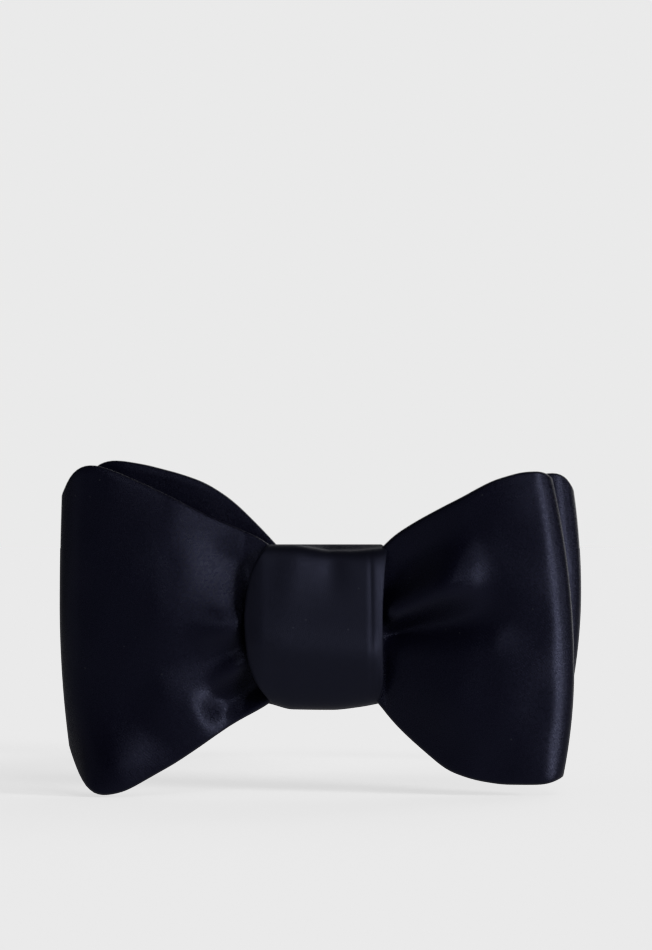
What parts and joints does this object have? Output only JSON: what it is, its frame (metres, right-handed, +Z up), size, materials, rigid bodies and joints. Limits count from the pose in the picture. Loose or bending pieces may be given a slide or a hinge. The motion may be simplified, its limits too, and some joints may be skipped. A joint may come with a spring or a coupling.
{
  "type": "bow tie",
  "caption": "Ready-tied satin bow tie: front and rear ribbon loops pinched by a knot wrap, on an adjustable neckband with slider, eye loop and hook.",
  "frame": {"origin": "centre of the neck opening, at the neckband's mid height", "axes": "+X to the viewer's right as the bow faces them, -Y out of the bow's front, +Z up along the neck"},
  "size_m": [0.1219, 0.1409, 0.078],
  "materials": {
    "satin": "midnight navy silk satin, soft sheen",
    "band_satin": "midnight navy silk satin strap",
    "interlining": "plain woven stiffener",
    "thread": "navy sewing thread",
    "nickel": "polished nickel plate"
  },
  "bodies": {
    "band": {"neckband": "band_satin", "neckband_interlining": "interlining", "eye_loop": "nickel"},
    "bow": {"front_bow": "satin", "front_bow_interlining": "interlining", "rear_bow": "satin", "rear_bow_interlining": "interlining", "knot_wrap": "satin", "knot_interlining": "interlining", "waist_binding": "thread", "knot_stitches": "thread"},
    "adjuster": {"slider": "nickel", "slider_bartack": "thread", "neckband_return": "band_satin"},
    "hook_end": {"neckband_hook_end": "band_satin", "hook_bartack": "thread"},
    "hook": {"hook": "nickel"}
  },
  "joints": [
    {"name": "bow_tilt", "type": "hinge", "parent": "band", "child": "bow", "pos_m": [0, -0.066, 0], "axis": [0, -1, 0], "range_deg": [-10, 10]},
    {"name": "adjuster_slide", "type": "hinge", "parent": "band", "child": "adjuster", "pos_m": [0, 0, 0], "axis": [0, 0, 1], "range_deg": [-15, 12], "deforming": ["neckband_return"]},
    {"name": "hook_end_flex", "type": "hinge", "parent": "band", "child": "hook_end", "pos_m": [-0.03316, 0.04988, 0], "axis": [0, 0, 1], "range_deg": [0, 50]},
    {"name": "hook_swivel", "type": "hinge", "parent": "hook_end", "child": "hook", "pos_m": [-0.0129, 0.06414, 0], "axis": [0, 0, 1], "range_deg": [0, 45]}
  ]
}
